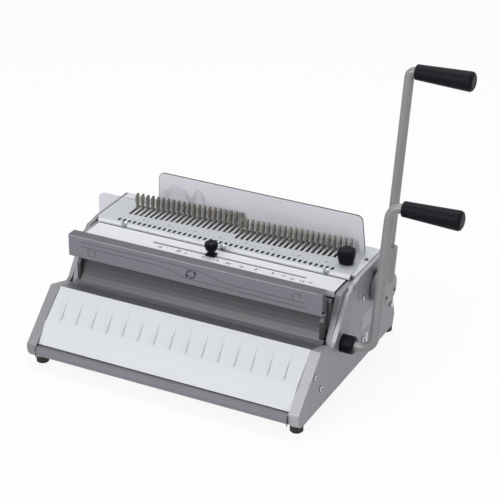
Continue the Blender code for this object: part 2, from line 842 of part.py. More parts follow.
# punch sets
for place, first, tine_y in (("left", 0, left_tine_y), ("right", group_count, right_tine_y)):
    x0 = first_punch_x + pitch * first
    x1 = x0 + pitch * (group_count - 1)
    carrier = box(x0 - set_end, x1 + set_end, carrier_front_y, carrier_back_y, carrier_low,
                  carrier_high)
    added = []
    for k in range(group_count):
        x = x0 + pitch * k
        added.append(box(x - punch_side / 2, x + punch_side / 2, punch_tip_y + tip_stagger * k,
                         carrier_front_y + weld_depth, punch_mid_z - punch_side / 2,
                         punch_mid_z + punch_side / 2))
        y = tine_y + stagger * k
        outline = [(y + a, tine_top + b) for a, b in tine_profile]
        outline[0] = (outline[0][0], carrier_high - weld_depth)
        outline[1] = (outline[1][0], carrier_high - weld_depth)
        added.append(prism("x", outline, x - tine_thick / 2, x + tine_thick / 2))
    slot_half_y = throw_pin_radius + fork_play
    fork_top = throw_pin_radius + punch_z + punch_throw + fork_play
    forks = []
    for x in crank_places_x:
        if x0 < x < x1:
            forks.append(prism("x", [
                (fork_front_y, carrier_high - 2 * weld_depth), (fork_front_y, fork_low),
                (throw_y - slot_half_y, fork_low), (throw_y - slot_half_y, fork_top),
                (throw_y + slot_half_y, fork_top), (throw_y + slot_half_y, fork_low),
                (throw_y + slot_half_y + fork_wall, fork_low),
                (throw_y + slot_half_y + fork_wall, carrier_high - 2 * weld_depth)],
                x - fork_half, x + fork_half))
    node("punch_set_" + place, carrier, "nickel", add=[added, forks])

# guide block, die block and slide frame
holes = []
for k in range(2 * group_count):
    x = first_punch_x + pitch * k
    half = punch_side / 2 + punch_play
    holes.append((x, half))
node("punch_guide", box(-block_half, block_half, guide_block_front, guide_block_back,
                        guide_block_low, block_high), "tool_steel",
     cut=[box(x - half, x + half, guide_block_front - gap, guide_block_back + gap,
              punch_mid_z - half, punch_mid_z + half) for x, half in holes])
node("die_block", box(-block_half, block_half, die_front, die_back, die_low, block_high),
     "tool_steel",
     cut=[box(x - half, x + half, die_front - gap, die_back + gap,
              punch_mid_z - half, punch_mid_z + half) for x, half in holes])
slide_outline = [(-inner_half, slide_beam_front), (inner_half, slide_beam_front),
                 (inner_half, slide_beam_back)]
for x in slide_rails_x[::-1]:
    slide_outline += [(x + slide_rail_width, slide_beam_back), (x + slide_rail_width, slide_back),
                      (x, slide_back), (x, slide_beam_back)]
slide_outline.append((-inner_half, slide_beam_back))
node("slide_frame", prism("z", slide_outline, slide_low, slide_high), "bright_steel")

# depth stop and dial
node("depth_stop", box(-stop_half, stop_half, stop_front, stop_back, stop_low, stop_high),
     "bright_steel", (0.0, stop_front, stop_low),
     add=[[box(stop_arm_x0 - weld_depth, stop_arm_x1, stop_front, stop_arm_back, stop_low,
               stop_arm_high)]])
dial_axis = (dial_x, dial_y, dial_low)
node("margin_dial", lathe((dial_x, dial_y, stem_foot), (0, 0, 1), [
    (0, 0), (0, stem_radius), (dial_low - stem_foot, stem_radius),
    (dial_low - stem_foot, dial_radius), (dial_low - stem_foot + dial_round, dial_radius),
    (dial_high - stem_foot - dial_round, dial_top_radius),
    (dial_high - stem_foot, dial_top_radius - dial_round), (dial_high - stem_foot, 0)],
    round_steps), "black_plastic", dial_axis)

# paper table and side stop
table_path = [(table_back, table_top), (table_front, table_top),
              (table_front, table_top - table_lip)]
node("paper_table", prism("x", sheet_outline(table_path, table_thick), -table_half, table_half),
     "light_grey_paint",
     cut=[box(slot_x0, slot_x1, slot_y - slot_half, slot_y + slot_half,
              table_top - 2 * table_thick, table_top + table_thick)])
stop_axis = (side_stop_x, slot_y, table_top)
slider_top = table_top - table_thick - fit
foot_low = table_top + fit
foot_high = foot_low + slider_foot_high
node("side_stop", box(side_stop_x - slider_half, side_stop_x + slider_half, slider_front,
                      slider_back, slider_low, slider_top), "black_plastic", stop_axis,
     add=[[box(side_stop_x - slider_neck_half, side_stop_x + slider_neck_half,
               slot_y - slot_half + fit, slot_y + slot_half - fit, slider_top - weld_depth,
               foot_high - weld_depth)],
          [box(side_stop_x - slider_foot_half_x, side_stop_x + slider_foot_half_x,
               slot_y - slider_foot_half_y, slot_y + slider_foot_half_y, foot_low,
               foot_high)]])
neck_low = foot_high + gap
node("side_stop_knob", lathe((side_stop_x, slot_y, neck_low), (0, 0, 1), [
    (0, 0), (0, knob_neck_radius), (knob_head_low - neck_low, knob_neck_radius),
    (knob_head_low - neck_low, knob_head_radius - knob_round / 3),
    (knob_head_low - neck_low + knob_round / 3, knob_head_radius),
    (knob_head_high - neck_low - knob_round, knob_head_radius),
    (knob_head_high - neck_low, knob_head_radius - knob_round),
    (knob_head_high - neck_low, 0)], small_steps), "black_plastic", stop_axis)

# top plate with the upright sheet
bend_y = plate_front + plate_bend
bend_z = plate_top - plate_bend
plate_path = ([(plate_back, plate_top)]
              + arc((bend_y, bend_z), plate_bend, 90.0, 180.0, bend_steps)
              + [(plate_front, plate_low)])
inner_plate = plate_top - plate_thick
upright_outline = (
    [(upright_foot_x0, inner_plate + gap), (upright_foot_x1, inner_plate + gap),
     (upright_foot_x1, plate_top + upright_corner)]
    + arc((upright_x1 - upright_corner, upright_top - upright_corner), upright_corner,
          0.0, 90.0, tab_steps)
    + arc((upright_x0 + upright_corner, upright_top - upright_corner), upright_corner,
          90.0, 180.0, tab_steps))
openings = []
for k in range(window_count):
    x = first_window_x + pitch * k
    openings.append(box(x - window_wide / 2, x + window_wide / 2, window_y - window_long / 2,
                        window_y + window_long / 2, inner_plate - gap, plate_top + gap))
for k in range(2 * group_count):
    x = first_punch_x + pitch * k
    y = opening_front_y + opening_step * (k % group_count)
    openings.append(box(x - opening_width / 2, x + opening_width / 2, y, y + opening_length,
                        inner_plate - gap, plate_top + gap))
openings.append(rod((dial_x, dial_y, inner_plate - gap), (dial_x, dial_y, plate_top + gap),
                    stem_radius + stem_hole_fit, small_steps))
plate_trim = prism("z", [
    (plate_x1 + gap, plate_trim_y), (plate_x1 + plate_trim_in, plate_trim_y),
    (plate_x1 + plate_trim_in, plate_back + gap), (plate_x1 - plate_trim_in, plate_back + gap),
    (plate_x1 - plate_trim_in, upright_front)], inner_plate - gap, plate_top + gap)
node("top_plate", prism("x", sheet_outline(plate_path, plate_thick), plate_x0, plate_x1),
     "light_grey_paint",
     cut=openings, late=[plate_trim],
     add=[[prism("y", upright_outline, upright_front, upright_front + upright_thick)]])
deck_back = rear_path[0][0] - gap
node("deck", prism("z", [
    (-rear_half, deck_front), (rear_half, deck_front), (rear_half, deck_back),
    (dial_x + stem_radius + deck_thick, deck_back),
    (dial_x + stem_radius + deck_thick, deck_open_front),
    (deck_open_x0, deck_open_front), (deck_open_x0, deck_back), (-rear_half, deck_back)],
    inner_plate - gap - deck_thick, inner_plate - gap), "white_paint")
slant = Vector((0.0, -1.0, 1.0)).normalized()
bolt_seat = Vector((0.0, bend_y, bend_z)) + slant * (plate_bend + gap)
for k, x in enumerate(bolt_places_x):
    node("plate_bolt_%d" % (k + 1), lathe((x, bolt_seat.y, bolt_seat.z), slant, [
        (0, 0), (0, bolt_radius - bolt_rise / 2), (bolt_rise / 2, bolt_radius),
        (bolt_rise, bolt_radius), (bolt_height, bolt_radius / 2), (bolt_height, 0)],
        small_steps), "bright_steel")

# rear cover and side wing
node("rear_cover", prism("x", sheet_outline(rear_path[::-1], rear_thick), -rear_half, rear_half),
     "white_paint")
wing_in_x = cover_out_x + gap
wing_outline = (
    [(-wing_in_x, wing_low), (-wing_in_x, wing_high)]
    + arc((-wing_x + wing_corner, wing_high - wing_corner), wing_corner, 90.0, 180.0, tab_steps)
    + [(-wing_x, wing_low)])
node("side_wing", prism("y", wing_outline, wing_front, wing_front + wing_thick),
     "light_grey_paint",
     add=[[box(-wing_in_x - wing_thick, -wing_in_x, wing_front - wing_flange,
               wing_front + wing_thick / 2, wing_low, wing_high - wing_corner)]])

# chip tray
tray_origin = (0.0, tray_front, tray_low)
node("chip_tray", box(-tray_half, tray_half, tray_front, tray_back, tray_low, tray_high),
     "dark_paint", tray_origin,
     cut=[box(-tray_half + tray_wall, tray_half - tray_wall, tray_front + tray_wall,
              tray_back - tray_wall, tray_low + tray_wall, tray_high + tray_wall)])
node("chip_tray_front", prism("x", tray_front_profile, -tray_front_half, tray_front_half),
     "grey_paint", tray_origin)

# screws of the right side cover
screw_x = cover_out_x + gap
for k, spot in enumerate(screw_places):
    node("side_screw_%d" % (k + 1), lathe((screw_x, spot[0], spot[1]), (1, 0, 0), [
        (0, 0), (0, screw_radius), (screw_height / 2, screw_radius),
        (screw_height, screw_radius / 2), (screw_height, 0)], small_steps), "bright_steel")
node("side_nut", lathe((screw_x, nut_place[0], nut_place[1]), (1, 0, 0), [
    (0, 0), (0, nut_radius), (nut_height, nut_radius), (nut_height, 0)], 6), "bright_steel")
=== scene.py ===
"""Wire punching and closing machine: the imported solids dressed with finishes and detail.

Lengths are in metres.  Places are first written in machine coordinates (x = 0 at
mid-width, y = 0 over the front feet, z = 0 at 4 mm under the desk) and moved by ORIGIN into the
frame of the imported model.
"""
import math

import bpy
import numpy as np
from mathutils import Matrix, Vector


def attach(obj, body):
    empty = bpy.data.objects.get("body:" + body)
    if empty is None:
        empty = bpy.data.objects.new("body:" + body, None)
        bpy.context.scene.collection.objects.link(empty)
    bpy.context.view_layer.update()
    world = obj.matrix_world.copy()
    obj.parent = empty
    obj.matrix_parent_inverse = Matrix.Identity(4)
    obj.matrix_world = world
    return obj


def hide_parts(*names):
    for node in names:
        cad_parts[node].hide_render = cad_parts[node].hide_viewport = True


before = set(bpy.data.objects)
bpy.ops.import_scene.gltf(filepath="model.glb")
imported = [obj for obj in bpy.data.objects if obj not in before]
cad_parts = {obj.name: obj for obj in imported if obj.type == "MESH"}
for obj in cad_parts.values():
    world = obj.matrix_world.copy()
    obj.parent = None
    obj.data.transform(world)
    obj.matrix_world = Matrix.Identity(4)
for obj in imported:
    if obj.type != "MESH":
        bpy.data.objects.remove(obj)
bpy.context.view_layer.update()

ORIGIN = np.array([-0.05365, -0.1498, -0.0040])
PITCH = 0.0084667
WINDOW_COUNT = 42
FIRST_WINDOW_X = -0.17357
PRINT_THICK = 0.0001
BAR_PRINT_THICK = 0.00012


# finishes
ROUGH_SPREAD = 0.07
PORE_DEPTH = 0.0003


def finish(name, colour, metallic=0.0, roughness=0.45, grain=0.0, grain_size=900.0,
           bump=0.0, bump_size=1400.0, shade=0.0, shade_size=14.0, brush=None,
           specular=0.5):
    """A procedural finish on Object coordinates.

    colour is linear; grain varies it at grain_size per metre, shade at shade_size;
    bump is a fine paint texture; brush stretches the grain along one axis.
    """
    made = bpy.data.materials.new(name)
    made.use_nodes = True
    nodes = made.node_tree.nodes
    links = made.node_tree.links
    shader = nodes["Principled BSDF"]
    shader.inputs["Metallic"].default_value = metallic
    shader.inputs["Specular IOR Level"].default_value = specular
    place = nodes.new("ShaderNodeTexCoord")
    stretch = nodes.new("ShaderNodeMapping")
    if brush:
        stretch.inputs["Scale"].default_value = brush
    links.new(place.outputs["Object"], stretch.inputs["Vector"])
    fine = nodes.new("ShaderNodeTexNoise")
    fine.inputs["Scale"].default_value = grain_size
    fine.inputs["Detail"].default_value = 3.0
    links.new(stretch.outputs["Vector"], fine.inputs["Vector"])
    wide = nodes.new("ShaderNodeTexNoise")
    wide.inputs["Scale"].default_value = shade_size
    wide.inputs["Detail"].default_value = 4.0
    links.new(place.outputs["Object"], wide.inputs["Vector"])
    ramp = nodes.new("ShaderNodeValToRGB")
    low = [max(0.0, c * (1.0 - grain)) for c in colour]
    high = [min(1.0, c * (1.0 + grain)) for c in colour]
    ramp.color_ramp.elements[0].color = (*low, 1.0)
    ramp.color_ramp.elements[1].color = (*high, 1.0)
    ramp.color_ramp.elements[0].position = 0.3
    ramp.color_ramp.elements[1].position = 0.7
    links.new(fine.outputs["Fac"], ramp.inputs["Fac"])
    mix = nodes.new("ShaderNodeMix")
    mix.data_type = "RGBA"
    mix.blend_type = "MULTIPLY"
    mix.inputs["Factor"].default_value = 1.0
    tone = nodes.new("ShaderNodeMapRange")
    tone.inputs["To Min"].default_value = 1.0 - shade
    tone.inputs["To Max"].default_value = 1.0 + shade
    links.new(wide.outputs["Fac"], tone.inputs["Value"])
    links.new(ramp.outputs["Color"], mix.inputs[6])
    links.new(tone.outputs["Result"], mix.inputs[7])
    links.new(mix.outputs[2], shader.inputs["Base Color"])
    rough = nodes.new("ShaderNodeMapRange")
    rough.inputs["To Min"].default_value = max(0.03, roughness - ROUGH_SPREAD)
    rough.inputs["To Max"].default_value = min(1.0, roughness + ROUGH_SPREAD)
    links.new(fine.outputs["Fac"], rough.inputs["Value"])
    links.new(rough.outputs["Result"], shader.inputs["Roughness"])
    if bump:
        pores = nodes.new("ShaderNodeTexNoise")
        pores.inputs["Scale"].default_value = bump_size
        pores.inputs["Detail"].default_value = 2.0
        links.new(stretch.outputs["Vector"], pores.inputs["Vector"])
        relief = nodes.new("ShaderNodeBump")
        relief.inputs["Strength"].default_value = bump
        relief.inputs["Distance"].default_value = PORE_DEPTH
        links.new(pores.outputs["Fac"], relief.inputs["Height"])
        links.new(relief.outputs["Normal"], shader.inputs["Normal"])
    return made


def painted_light_by_side(made, up=(1.0, 1.0, 1.0), right=(1.0, 1.0, 1.0)):
    """Paints light and shade into a finish's colour: multiplies it where its face looks up and
    where it looks to the right.

    The factor goes from 1 to the given tone as the normal turns from 45 degrees off
    that way to facing it.
    """
    nodes = made.node_tree.nodes
    links = made.node_tree.links
    shader = nodes["Principled BSDF"]
    source = shader.inputs["Base Color"].links[0].from_socket
    facing = nodes.new("ShaderNodeNewGeometry")
    split = nodes.new("ShaderNodeSeparateXYZ")
    links.new(facing.outputs["True Normal"], split.inputs["Vector"])
    for axis, tone in (("Z", up), ("X", right)):
        if tone == (1.0, 1.0, 1.0):
            continue
        share = nodes.new("ShaderNodeMapRange")
        share.inputs["From Min"].default_value = 0.6
        share.inputs["From Max"].default_value = 0.95
        links.new(split.outputs[axis], share.inputs["Value"])
        mix = nodes.new("ShaderNodeMix")
        mix.data_type = "RGBA"
        mix.blend_type = "MULTIPLY"
        mix.inputs[7].default_value = (*tone, 1.0)
        links.new(share.outputs["Result"], mix.inputs[0])
        links.new(source, mix.inputs[6])
        source = mix.outputs[2]
    links.new(source, shader.inputs["Base Color"])
    return made


WHITE = finish("white_powder_coat", (0.62, 0.635, 0.665), roughness=0.42, grain=0.012,
               bump=0.06, shade=0.015)
TABLE_WHITE = finish("table_white", (0.69, 0.70, 0.715), roughness=0.4, grain=0.01,
                     bump=0.05, shade=0.01)
# Pale plate paint with painted shade: faces looking up are painted darker.
PLATE_GREY_SHADED_TOP = painted_light_by_side(
    finish("plate_pale_grey_painted_shade_top", (0.76, 0.765, 0.81), roughness=0.42, grain=0.015, bump=0.06,
           shade=0.02), up=(0.66, 0.675, 0.665))
# Both side covers wear one paint: the left copy is painted darker as shade, the right copy
# lighter as light on its front band, with painted shade on its faces looking right.
COVER_LEFT_PAINTED_SHADE = finish("left_cover_coat_painted_shade", (0.235, 0.235, 0.245), metallic=0.25, roughness=0.45,
                    grain=0.06, grain_size=2600.0, bump=0.1, shade=0.03)
COVER_RIGHT_PAINTED_LIGHT_AND_SHADE = painted_light_by_side(
    finish("right_cover_coat_painted_light_and_shade", (0.38, 0.38, 0.395), metallic=0.25, roughness=0.45, grain=0.06,
           grain_size=2600.0, bump=0.1, shade=0.03), right=(0.68, 0.67, 0.74))
# Bar paint with a painted reflection of a dark surround: faces looking up are painted darker.
BAR_GREY_PAINTED_DARK_TOP = painted_light_by_side(
    finish("bar_grey_coat_painted_dark_top", (0.195, 0.192, 0.222), metallic=0.2, roughness=0.42, grain=0.05,
           grain_size=2600.0, bump=0.08, shade=0.02), up=(0.50, 0.51, 0.50))
# Dark bed paint with painted light: faces looking up are painted lighter.
BED_GREY_PAINTED_LIGHT_TOP = painted_light_by_side(
    finish("bed_dark_coat_painted_light_top", (0.078, 0.078, 0.085), metallic=0.2, roughness=0.4, grain=0.05,
           bump=0.08, shade=0.04, shade_size=9.0), up=(1.7, 1.7, 1.8))
FRAME_GREY = finish("frame_grey", (0.27, 0.27, 0.28), metallic=0.25, roughness=0.45,
                    grain=0.05, bump=0.08, shade=0.03)
LEVER_GREY = finish("lever_silver_coat", (0.245, 0.245, 0.252), metallic=0.3, roughness=0.42,
                    grain=0.04, bump=0.05, shade=0.02)
STEEL = finish("bright_steel", (0.60, 0.60, 0.60), metallic=1.0, roughness=0.28, grain=0.05,
               bump=0.05, brush=(1.0, 12.0, 12.0))
POLISHED = finish("polished_chrome", (0.80, 0.80, 0.82), metallic=0.55, roughness=0.2,
                  grain=0.02)
BOLT_ZINC = finish("zinc_bolt", (0.30, 0.33, 0.36), metallic=1.0, roughness=0.26, grain=0.08,
                   grain_size=700.0)
# Nickel plate with painted shade: faces looking up are painted dark.
NICKEL_PAINTED_SHADE_TOPS = painted_light_by_side(
    finish("nickel_plate_painted_shade_tops", (0.27, 0.248, 0.215), metallic=0.7, roughness=0.36, grain=0.12,
           grain_size=500.0, bump=0.08, shade=0.12, shade_size=60.0), up=(0.16, 0.16, 0.16))
# Near-black painted shadow: what shows through the windows is given this colour so the holes read
# dark.
SHADOW_STEEL = finish("painted_shadow_black", (0.011, 0.011, 0.012), metallic=0.2, roughness=0.6,
                      grain=0.1, specular=0.2)
GRIP_BLACK = finish("grip_black", (0.0065, 0.0065, 0.0105), roughness=0.42, grain=0.1,
                    bump=0.05, specular=0.08)
RUBBER = finish("foot_rubber", (0.013, 0.013, 0.014), roughness=0.75, grain=0.2, bump=0.2)
WAVE_GREY = finish("pale_print", (0.40, 0.40, 0.47), roughness=0.5, grain=0.05)
INK = finish("printed_ink", (0.035, 0.035, 0.05), roughness=0.6, grain=0.1)
PRINT_GREY = finish("printed_grey", (0.075, 0.075, 0.09), roughness=0.6, grain=0.1)
# Lighter grey for the bar's top front edge: a painted highlight.
EDGE_PAINTED_HIGHLIGHT = finish("painted_bar_edge_highlight", (0.36, 0.36, 0.41), metallic=0.2, roughness=0.4,
                    grain=0.04)
LABEL_PALE = finish("blank_label", (0.37, 0.37, 0.42), roughness=0.5, grain=0.02, shade=0.05,
                    shade_size=60.0)
# Dark colour for screws, sockets and the seam, and for strips of painted shade in the gaps along
# sheet edges.
DARK_PARTS_AND_GAP_SHADE = finish("dark_parts_and_painted_gap_shade", (0.05, 0.05, 0.055), roughness=0.5, grain=0.1)

NODE_FINISH = {
    "base_plate": FRAME_GREY, "side_cover_left": COVER_LEFT_PAINTED_SHADE, "side_cover_right": COVER_RIGHT_PAINTED_LIGHT_AND_SHADE,
    "frame_plate_left": FRAME_GREY, "frame_plate_right": FRAME_GREY,
    "tie_bar_front": STEEL, "tie_bar_rear": STEEL, "front_panel": WHITE,
    "closing_bed": BED_GREY_PAINTED_LIGHT_TOP, "closing_bar": BAR_GREY_PAINTED_DARK_TOP,
    "closing_arm_left": BED_GREY_PAINTED_LIGHT_TOP, "closing_arm_right": BED_GREY_PAINTED_LIGHT_TOP,
    "closing_guide_left": BED_GREY_PAINTED_LIGHT_TOP, "closing_guide_right": BED_GREY_PAINTED_LIGHT_TOP,
    "closing_shaft": STEEL, "closing_lever_rod": LEVER_GREY, "closing_grip": GRIP_BLACK,
    "closing_bush": GRIP_BLACK, "punch_shaft": STEEL, "punch_ring": POLISHED,
    "punch_hub": LEVER_GREY, "punch_lever_rod": LEVER_GREY, "punch_grip": GRIP_BLACK,
    # punch_guide, die_block and slide_frame are seen only through the windows and take the
    # painted shadow black.
    "punch_set_left": NICKEL_PAINTED_SHADE_TOPS, "punch_set_right": NICKEL_PAINTED_SHADE_TOPS, "punch_guide": SHADOW_STEEL,
    "die_block": SHADOW_STEEL, "slide_frame": SHADOW_STEEL, "depth_stop": STEEL,
    "margin_dial": GRIP_BLACK, "paper_table": TABLE_WHITE, "side_stop": GRIP_BLACK,
    "side_stop_knob": GRIP_BLACK, "top_plate": PLATE_GREY_SHADED_TOP, "rear_cover": WHITE,
    "deck": WHITE, "side_wing": PLATE_GREY_SHADED_TOP, "chip_tray": BED_GREY_PAINTED_LIGHT_TOP,
    "chip_tray_front": BAR_GREY_PAINTED_DARK_TOP, "side_nut": STEEL}
for name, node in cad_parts.items():
    look = NODE_FINISH.get(name)
    if look is None and name.startswith("foot"):
        look = RUBBER
    if look is None and name.startswith("plate_bolt"):
        look = BOLT_ZINC
    look = look or STEEL
    node.data.materials.clear()
    node.data.materials.append(look)


# surfaces
def place(points):
    """Machine coordinates to frame coordinates."""
    return np.asarray(points, dtype=float) + ORIGIN


def surface(name, points, faces, look, body, smooth_deg=33.0):
    """A piece from a point array (n, 3) in machine coordinates and a face list."""
    mesh = bpy.data.meshes.new(name)
    mesh.from_pydata(place(points).tolist(), [], [tuple(int(k) for k in f) for f in faces])
    mesh.materials.append(look)
    mesh.shade_smooth()
    mesh.set_sharp_from_angle(angle=math.radians(smooth_deg))
    made = bpy.data.objects.new(name, mesh)
    bpy.context.scene.collection.objects.link(made)
    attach(made, body)
    return made


def grid_faces(rows, columns, wrap=False):
    """Quads of a grid of rows by columns; wrap joins the last column to the first."""
    r, c = np.meshgrid(np.arange(rows - 1), np.arange(columns if wrap else columns - 1),
                       indexing="ij")
    d = (c + 1) % columns
    return np.stack([r * columns + c, r * columns + d, (r + 1) * columns + d,
                     (r + 1) * columns + c], -1).reshape(-1, 4)


def turned(name, base, along, profile, look, body, steps=48, ripple=None):
    """Profile (distance, radius) turned about the axis through base.

    The point at angle t and profile station (a, r) is
    base + a * along + r * (1 + ripple(t, a)) * (u * cos t + v * sin t).
    Both end rings are closed by a fan to their middle.
    """
    along = np.asarray(Vector(along).normalized())
    u = np.asarray(Vector(along).orthogonal().normalized())
    v = np.cross(along, u)
    profile = np.asarray(profile, dtype=float)
    t = np.linspace(0.0, 2 * np.pi, steps, endpoint=False)
    a = profile[:, :1]
    r = profile[:, 1:2] * (1.0 + (ripple(t[None, :], a) if ripple else 0.0 * t[None, :]))
    rings = (np.asarray(base) + a[..., None] * along
             + r[..., None] * (np.cos(t)[None, :, None] * u + np.sin(t)[None, :, None] * v))
    count = len(profile)
    points = rings.reshape(-1, 3)
    ends = np.asarray(base) + profile[[0, -1], 0][:, None] * along
    points = np.vstack([points, ends])
    sides = grid_faces(count, steps, True)
    k = np.arange(steps)
    j = (k + 1) % steps
    first = np.stack([np.full(steps, count * steps), j, k], -1)
    last = np.stack([np.full(steps, count * steps + 1), (count - 1) * steps + k,
                     (count - 1) * steps + j], -1)
    faces = [tuple(f) for f in sides] + [tuple(f) for f in first] + [tuple(f) for f in last]
    return surface(name, points, faces, look, body)


def ribbons(name, paths, width, thick, normal, look, body):
    """Printed lines: each path (n, 3) becomes a thin closed strip lying on its plane.

    The section is a rectangle: width across the path in the plane, thick along normal.
    """
    normal = np.asarray(normal, dtype=float)
    normal = normal / np.linalg.norm(normal)
    all_points, all_faces, start = [], [], 0
    for path in paths:
        path = np.asarray(path, dtype=float)
        run = np.gradient(path, axis=0)
        run /= np.linalg.norm(run, axis=1)[:, None]
        side = np.cross(normal, run) * (width / 2)
        up = normal * thick
        ring = np.stack([path - side, path + side, path + side + up, path - side + up], 1)
        n = len(path)
        all_points.append(ring.reshape(-1, 3))
        faces = [tuple(f) for f in grid_faces(n, 4, True) + start]
        faces.append(tuple(np.array([3, 2, 1, 0]) + start))
        faces.append(tuple(np.array([0, 1, 2, 3]) + start + 4 * (n - 1)))
        all_faces += faces
        start += 4 * n
    made = surface(name, np.vstack(all_points), all_faces, look, body)
    return made


# embossed front panel
PANEL_PATH = np.array([(0.0493, 0.1044), (0.0072, 0.0689), (-0.0147, 0.0405)])
PANEL_THICK = 0.0015
INNER_HALF = 0.2004
FIRST_RIB_X = -0.1760
RIB_PITCH = 0.0254
RIB_COUNT = 15
RIB_HEIGHT = 0.0029
RIB_LENGTH = 0.0388
RIB_END_GAP = 0.0043
RIB_LEAN = 0.0045


def smooth(value):
    """Smooth step from 0 to 1: 3 t^2 - 2 t^3, with t held between 0 and 1."""
    t = np.clip(value, 0.0, 1.0)
    return t * t * (3.0 - 2.0 * t)


def front_panel():
    """Bent sheet with 15 embossed ribs.

    A point lies at the run of the section plus its outward normal times the height
    h = 2.9 mm * A(w) * rise(u) * fall(u): u is the distance across from the rib's line,
    w the share along the rib, A grows quickly at the low end and fades to the high end,
    rise is a smooth step over 6 to 10 mm, fall one over 0.6 mm at the low end and 2.6 mm
    at the high end.  The inner face is the section moved inward by 1.5 mm.
    """
    near = np.array([-11.5, -9.5, -7.5, -6, -4.8, -3.8, -3, -2.2, -1.5, -0.9, -0.45, 0, 0.25, 0.5,
                     0.8, 1.2, 1.8, 2.6, 3.6, 5, 6.8, 9, 11.5]) * 0.001
    ribs = FIRST_RIB_X + RIB_PITCH * np.arange(RIB_COUNT)
    across = np.concatenate([[-INNER_HALF, -INNER_HALF + 0.004],
                             (ribs[:, None] + near[None, :]).ravel(),
                             [INNER_HALF - 0.006, INNER_HALF]])
    run = PANEL_PATH[1] - PANEL_PATH[0]
    long = np.hypot(*run)
    run = run / long
    out = np.array([run[1], -run[0]])
    along = np.concatenate([[0.0, 0.002], np.linspace(0.005, long - 0.0015, 54), [long]])
    w = (long - RIB_END_GAP - along) / RIB_LENGTH
    lean = -RIB_LEAN * np.clip(w, -0.1, 1.3)
    hold = smooth((INNER_HALF - np.abs(across)) / 0.012)
    x = across[None, :] + lean[:, None] * hold[None, :]
    u = across[:, None] - ribs[None, :]
    u = u[np.arange(len(across)), np.abs(u).argmin(1)][None, :]
    w = w[:, None]
    wide_left = 0.006 + 0.004 * np.clip(w, 0, 1)
    wide_right = 0.0006 + 0.0020 * np.clip(w, 0, 1) ** 2
    height = (RIB_HEIGHT * smooth((w + 0.03) / 0.10) * (1 - smooth((w - 0.15) / 1.05))
              * smooth((u + wide_left) / wide_left) * (1 - smooth(u / wide_right)))
    yz = (PANEL_PATH[0] + along[:, None] * run)[:, None, :] + height[..., None] * out
    top = np.concatenate([x[..., None], yz], -1)
    run_two = (PANEL_PATH[2] - PANEL_PATH[1]) / np.hypot(*(PANEL_PATH[2] - PANEL_PATH[1]))
    in_one = -out
    in_two = np.array([-run_two[1], run_two[0]])
    middle = (in_one + in_two) / np.linalg.norm(in_one + in_two)
    rest = [PANEL_PATH[2],
            PANEL_PATH[2] + PANEL_THICK * in_two,
            PANEL_PATH[1] + PANEL_THICK * middle / middle.dot(in_one),
            PANEL_PATH[0] + PANEL_THICK * in_one]
    straight = [np.stack([across, 0 * across + y, 0 * across + z], -1) for y, z in rest]
    rings = np.concatenate([top, np.array(straight)], 0)
    count_s, count_x = rings.shape[:2]
    ids = np.arange(count_s * count_x).reshape(count_s, count_x)
    body = np.stack([ids[:, :-1], ids[:, 1:], np.roll(ids, -1, 0)[:, 1:],
                     np.roll(ids, -1, 0)[:, :-1]], -1).reshape(-1, 4)
    faces = [tuple(f) for f in body[:, ::-1]]
    faces.append(tuple(ids[:, 0]))
    faces.append(tuple(ids[::-1, -1]))
    made = surface("front_panel_sheet", rings.reshape(-1, 3), faces, WHITE, "machine",
                   35.0)
    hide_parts("front_panel")


front_panel()

# print on the closing bar
BAR_Y = 0.07950
TURN_ARROW_THICK = 0.00015
TURN_HEAD_THICK = 0.00016


def bar_path_line(corners, steps=10):
    """A line of the bar print through (x, z) corners, each run eased by a smooth step."""
    corners = np.asarray(corners, dtype=float)
    parts = []
    for a, b in zip(corners[:-1], corners[1:]):
        t = np.linspace(0.0, 1.0, steps)
        level = a[1] + (b[1] - a[1]) * smooth(t)
        parts.append(np.stack([a[0] + (b[0] - a[0]) * t, 0 * t + BAR_Y, level], -1)[:-1])
    parts.append(np.array([[corners[-1, 0], BAR_Y, corners[-1, 1]]]))
    return np.vstack(parts)


def curl(x, z, radius, start, end, tall=1.0, steps=16):
    """Arc of a circle on the bar's face: (x + r cos t, z + tall r sin t)."""
    t = np.radians(np.linspace(start, end, steps))
    return np.stack([x + radius * np.cos(t), 0 * t + BAR_Y, z + tall * radius * np.sin(t)], -1)


def head(x, z, size, turn):
    """Arrow head: a broad V of two strokes with its tip at (x, z), opening to turn."""
    t = np.radians(turn)
    tip = np.array([x, BAR_Y, z])
    ends = [tip + size * np.array([math.cos(t + d), 0.0, math.sin(t + d)]) for d in (-0.6, 0.6)]
    return [np.array([ends[0], tip]), np.array([tip, ends[1]])]


ribbons("bar_print_lines", [
    bar_path_line([(-0.181, 0.1665), (-0.002, 0.1665), (0.062, 0.1556), (0.178, 0.1556)]),
    bar_path_line([(-0.181, 0.1590), (-0.054, 0.1590), (-0.001, 0.1492), (0.178, 0.1482)])],
    0.0009, BAR_PRINT_THICK, (0, -1, 0), PRINT_GREY, "closing_bar_group")
left_swirl = curl(-0.1640, 0.1520, 0.0066, 150, 380, 0.85)
right_swirl = curl(0.1640, 0.1620, 0.0066, 200, 20, 0.85)
ribbons("bar_print_arrows", [left_swirl, right_swirl]
        + head(-0.1702, 0.1535, 0.0040, 60) + head(-0.1574, 0.1545, 0.0040, 130)
        + head(0.1702, 0.1645, 0.0040, 200) + head(0.1576, 0.1605, 0.0040, 300),
        0.0008, BAR_PRINT_THICK, (0, -1, 0), PRINT_GREY, "closing_bar_group")
ribbons("bar_turn_arrows", [curl(-0.0011, 0.1573, 0.0064, 70, 205, 0.9),
                            curl(-0.0011, 0.1573, 0.0064, 250, 385, 0.9)],
        0.0021, TURN_ARROW_THICK, (0, -1, 0), INK, "closing_bar_group")


